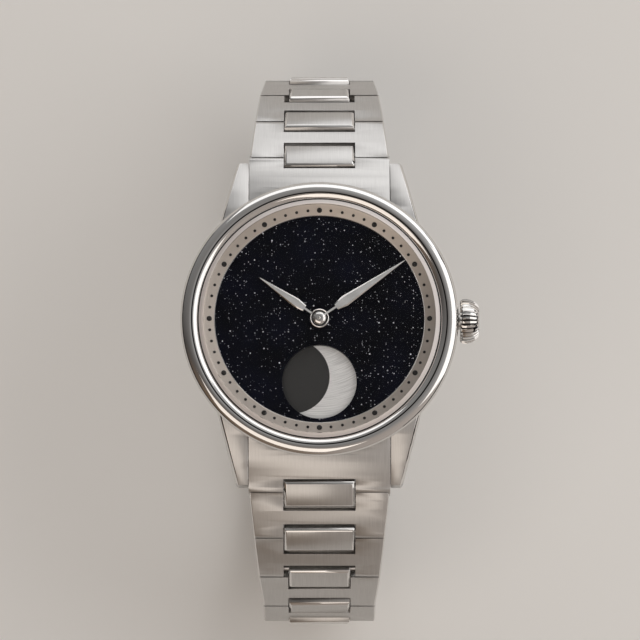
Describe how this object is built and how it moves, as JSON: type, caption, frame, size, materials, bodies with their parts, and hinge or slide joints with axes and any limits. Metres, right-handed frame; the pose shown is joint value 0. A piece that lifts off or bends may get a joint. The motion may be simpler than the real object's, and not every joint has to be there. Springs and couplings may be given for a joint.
{
  "type": "moon phase watch",
  "caption": "Round steel wristwatch with a star-flecked dark dial, a moon phase opening, tapered hands, a fluted winding knob and a closed folding link bracelet.",
  "frame": {"origin": "centre of the flat outer face of the back", "axes": "+Z out of the dial towards the eye, +Y towards 12 o'clock, +X towards 3 o'clock and the winding knob"},
  "size_m": [0.0419, 0.0808, 0.0469],
  "materials": {
    "brushed_steel": "brushed",
    "polished_steel": "polished",
    "sapphire": "polished clear",
    "gasket_rubber": "matte",
    "satin_steel": "satin",
    "dark_print": "gloss",
    "aventurine_glass": "polished with sparkles",
    "brass": "satin",
    "plated_plate": "plated, satin",
    "hardened_steel": "polished",
    "gilt_wheel": "polished",
    "silvered_disc": "circular brushed",
    "dark_shadow": "matte",
    "rotor_metal": "satin"
  },
  "bodies": {
    "head": {"case_middle": "brushed_steel", "bezel": "polished_steel", "crystal": "sapphire", "case_gaskets": "gasket_rubber", "case_back": "brushed_steel", "chapter_ring": "satin_steel", "hour_dots": "dark_print", "minute_dots": "dark_print", "dial": "aventurine_glass", "dial_base": "brass", "crown_tube": "brushed_steel", "movement_ring": "brass", "mainplate": "plated_plate", "train_bridge": "plated_plate", "balance_cock": "plated_plate", "hairspring": "hardened_steel", "movement_screws": "hardened_steel", "spring_bars": "hardened_steel", "upper_end_link": "brushed_steel", "lower_end_link": "brushed_steel"},
    "minute_hand": {"minute_hand": "satin_steel", "cannon_pinion": "hardened_steel", "hand_cap": "polished_steel"},
    "minute_wheel": {"minute_wheel": "gilt_wheel"},
    "hour_hand": {"hour_hand": "satin_steel", "hour_wheel": "gilt_wheel"},
    "moon_idler": {"moon_idler": "gilt_wheel"},
    "moon": {"moon_disc": "silvered_disc", "moon_shadows": "dark_shadow"},
    "winding_pinion": {"winding_pinion": "hardened_steel"},
    "crown_and_stem": {"crown": "polished_steel", "crown_stem": "hardened_steel", "crown_gasket": "gasket_rubber"},
    "fourth_wheel": {"fourth_wheel": "gilt_wheel"},
    "third_wheel": {"third_wheel": "gilt_wheel"},
    "centre_wheel": {"centre_wheel": "gilt_wheel"},
    "barrel": {"barrel": "gilt_wheel"},
    "escape_wheel": {"escape_wheel": "hardened_steel"},
    "pallet_fork": {"pallet_fork": "hardened_steel"},
    "balance_wheel": {"balance_wheel": "gilt_wheel"},
    "rotor": {"rotor": "rotor_metal"},
    "upper_link_1": {"upper_link_1": "brushed_steel"},
    "upper_link_2": {"upper_link_2": "brushed_steel"},
    "upper_link_3": {"upper_link_3": "brushed_steel"},
    "upper_link_4": {"upper_link_4": "brushed_steel"},
    "upper_link_5": {"upper_link_5": "brushed_steel"},
    "upper_link_6": {"upper_link_6": "brushed_steel"},
    "upper_link_7": {"upper_link_7": "brushed_steel"},
    "upper_link_8": {"upper_link_8": "brushed_steel"},
    "lower_link_1": {"lower_link_1": "brushed_steel"},
    "lower_link_2": {"lower_link_2": "brushed_steel"},
    "lower_link_3": {"lower_link_3": "brushed_steel"},
    "lower_link_4": {"lower_link_4": "brushed_steel"},
    "lower_link_5": {"lower_link_5": "brushed_steel"},
    "lower_link_6": {"lower_link_6": "brushed_steel"},
    "lower_link_7": {"lower_link_7": "brushed_steel"},
    "lower_link_8": {"lower_link_8": "brushed_steel"},
    "clasp_cover": {"clasp_cover": "brushed_steel"},
    "clasp_middle_blade": {"clasp_middle_blade": "polished_steel"},
    "clasp_inner_blade": {"clasp_inner_blade": "polished_steel"}
  },
  "joints": [
    {"name": "minute_hand_turn", "type": "hinge", "parent": "head", "child": "minute_hand", "pos_m": [0, 0, 0.009], "axis": [0, 0, -1], "continuous": true},
    {"name": "minute_wheel_turn", "type": "hinge", "parent": "head", "child": "minute_wheel", "pos_m": [0.00208, -0.0012, 0.0058], "axis": [0, 0, -1], "continuous": true},
    {"name": "hour_hand_turn", "type": "hinge", "parent": "head", "child": "hour_hand", "pos_m": [0, 0, 0.008], "axis": [0, 0, -1], "continuous": true},
    {"name": "moon_idler_turn", "type": "hinge", "parent": "head", "child": "moon_idler", "pos_m": [-0.0052, 0.003, 0.0063], "axis": [0, 0, -1], "continuous": true},
    {"name": "moon_turn", "type": "hinge", "parent": "head", "child": "moon", "pos_m": [0, 0, 0.007], "axis": [0, 0, -1], "continuous": true},
    {"name": "crown_turn", "type": "hinge", "parent": "head", "child": "winding_pinion", "pos_m": [0.01, 0, 0.00625], "axis": [1, 0, 0], "continuous": true},
    {"name": "crown_pull", "type": "slide", "parent": "winding_pinion", "child": "crown_and_stem", "axis": [1, 0, 0], "range_m": [0, 0.0015]},
    {"name": "fourth_wheel_turn", "type": "hinge", "parent": "head", "child": "fourth_wheel", "pos_m": [-0.00531, -0.00356, 0.004], "axis": [0, 0, 1], "continuous": true},
    {"name": "third_wheel_turn", "type": "hinge", "parent": "head", "child": "third_wheel", "pos_m": [-0.00154, -0.00423, 0.004], "axis": [0, 0, 1], "continuous": true},
    {"name": "centre_wheel_turn", "type": "hinge", "parent": "head", "child": "centre_wheel", "pos_m": [0, 0, 0.004], "axis": [0, 0, 1], "continuous": true},
    {"name": "barrel_turn", "type": "hinge", "parent": "head", "child": "barrel", "pos_m": [0.00546, 0.00315, 0.004], "axis": [0, 0, 1], "continuous": true},
    {"name": "escape_wheel_turn", "type": "hinge", "parent": "head", "child": "escape_wheel", "pos_m": [-0.00594, 0.00002, 0.004], "axis": [0, 0, 1], "continuous": true},
    {"name": "pallet_fork_swing", "type": "hinge", "parent": "head", "child": "pallet_fork", "pos_m": [-0.00594, 0.00287, 0.004], "axis": [0, 0, 1], "range_deg": [-6, 6]},
    {"name": "balance_swing", "type": "hinge", "parent": "head", "child": "balance_wheel", "pos_m": [-0.00594, 0.00632, 0.004], "axis": [0, 0, 1], "range_deg": [-270, 270]},
    {"name": "rotor_turn", "type": "hinge", "parent": "head", "child": "rotor", "pos_m": [0, 0, 0.0016], "axis": [0, 0, 1], "continuous": true},
    {"name": "upper_fold_1", "type": "hinge", "parent": "head", "child": "upper_link_1", "pos_m": [0, 0.023, 0.0032], "axis": [1, 0, 0], "range_deg": [0, 29.5]},
    {"name": "upper_fold_2", "type": "hinge", "parent": "upper_link_1", "child": "upper_link_2", "pos_m": [0, 0.02879, -0.00007], "axis": [1, 0, 0], "range_deg": [0, 14.5]},
    {"name": "upper_fold_3", "type": "hinge", "parent": "upper_link_2", "child": "upper_link_3", "pos_m": [0, 0.03357, -0.00469], "axis": [1, 0, 0], "range_deg": [0, 15]},
    {"name": "upper_fold_4", "type": "hinge", "parent": "upper_link_3", "child": "upper_link_4", "pos_m": [0, 0.037, -0.01039], "axis": [1, 0, 0], "range_deg": [0, 18]},
    {"name": "upper_fold_5", "type": "hinge", "parent": "upper_link_4", "child": "upper_link_5", "pos_m": [0, 0.03849, -0.01687], "axis": [1, 0, 0], "range_deg": [0, 23]},
    {"name": "upper_fold_6", "type": "hinge", "parent": "upper_link_5", "child": "upper_link_6", "pos_m": [0, 0.03734, -0.02342], "axis": [1, 0, 0], "range_deg": [0, 25]},
    {"name": "upper_fold_7", "type": "hinge", "parent": "upper_link_6", "child": "upper_link_7", "pos_m": [0, 0.03352, -0.02887], "axis": [1, 0, 0], "range_deg": [0, 25]},
    {"name": "upper_fold_8", "type": "hinge", "parent": "upper_link_7", "child": "upper_link_8", "pos_m": [0, 0.02776, -0.0322], "axis": [1, 0, 0], "range_deg": [0, 20]},
    {"name": "lower_fold_1", "type": "hinge", "parent": "head", "child": "lower_link_1", "pos_m": [0, -0.023, 0.0032], "axis": [-1, 0, 0], "range_deg": [0, 29.5]},
    {"name": "lower_fold_2", "type": "hinge", "parent": "lower_link_1", "child": "lower_link_2", "pos_m": [0, -0.02879, -0.00007], "axis": [-1, 0, 0], "range_deg": [0, 14.5]},
    {"name": "lower_fold_3", "type": "hinge", "parent": "lower_link_2", "child": "lower_link_3", "pos_m": [0, -0.03357, -0.00469], "axis": [-1, 0, 0], "range_deg": [0, 15]},
    {"name": "lower_fold_4", "type": "hinge", "parent": "lower_link_3", "child": "lower_link_4", "pos_m": [0, -0.037, -0.01039], "axis": [-1, 0, 0], "range_deg": [0, 18]},
    {"name": "lower_fold_5", "type": "hinge", "parent": "lower_link_4", "child": "lower_link_5", "pos_m": [0, -0.03849, -0.01687], "axis": [-1, 0, 0], "range_deg": [0, 23]},
    {"name": "lower_fold_6", "type": "hinge", "parent": "lower_link_5", "child": "lower_link_6", "pos_m": [0, -0.03734, -0.02342], "axis": [-1, 0, 0], "range_deg": [0, 25]},
    {"name": "lower_fold_7", "type": "hinge", "parent": "lower_link_6", "child": "lower_link_7", "pos_m": [0, -0.03352, -0.02887], "axis": [-1, 0, 0], "range_deg": [0, 25]},
    {"name": "lower_fold_8", "type": "hinge", "parent": "lower_link_7", "child": "lower_link_8", "pos_m": [0, -0.02776, -0.0322], "axis": [-1, 0, 0], "range_deg": [0, 20]},
    {"name": "inner_blade_fold", "type": "hinge", "parent": "upper_link_8", "child": "clasp_inner_blade", "pos_m": [0, 0.02122, -0.03335], "axis": [1, 0, 0], "range_deg": [0, 10]},
    {"name": "middle_blade_fold", "type": "hinge", "parent": "clasp_inner_blade", "child": "clasp_middle_blade", "pos_m": [0, -0.0155, -0.0342], "axis": [-1, 0, 0], "range_deg": [0, 150]},
    {"name": "clasp_cover_fold", "type": "hinge", "parent": "clasp_middle_blade", "child": "clasp_cover", "pos_m": [0, 0.01572, -0.03485], "axis": [1, 0, 0], "range_deg": [0, 150]}
  ],
  "couplings": [
    {"joint": "minute_wheel_turn", "follows": "minute_hand_turn", "ratio": -0.33333},
    {"joint": "hour_hand_turn", "follows": "minute_hand_turn", "ratio": 0.083333},
    {"joint": "moon_idler_turn", "follows": "minute_hand_turn", "ratio": -0.011111},
    {"joint": "moon_turn", "follows": "minute_hand_turn", "ratio": 0.00070547},
    {"joint": "third_wheel_turn", "follows": "fourth_wheel_turn", "ratio": -0.13333},
    {"joint": "centre_wheel_turn", "follows": "fourth_wheel_turn", "ratio": 0.016667},
    {"joint": "barrel_turn", "follows": "fourth_wheel_turn", "ratio": -0.0020833},
    {"joint": "escape_wheel_turn", "follows": "fourth_wheel_turn", "ratio": -12},
    {"joint": "clasp_cover_fold", "follows": "middle_blade_fold", "ratio": 1}
  ]
}
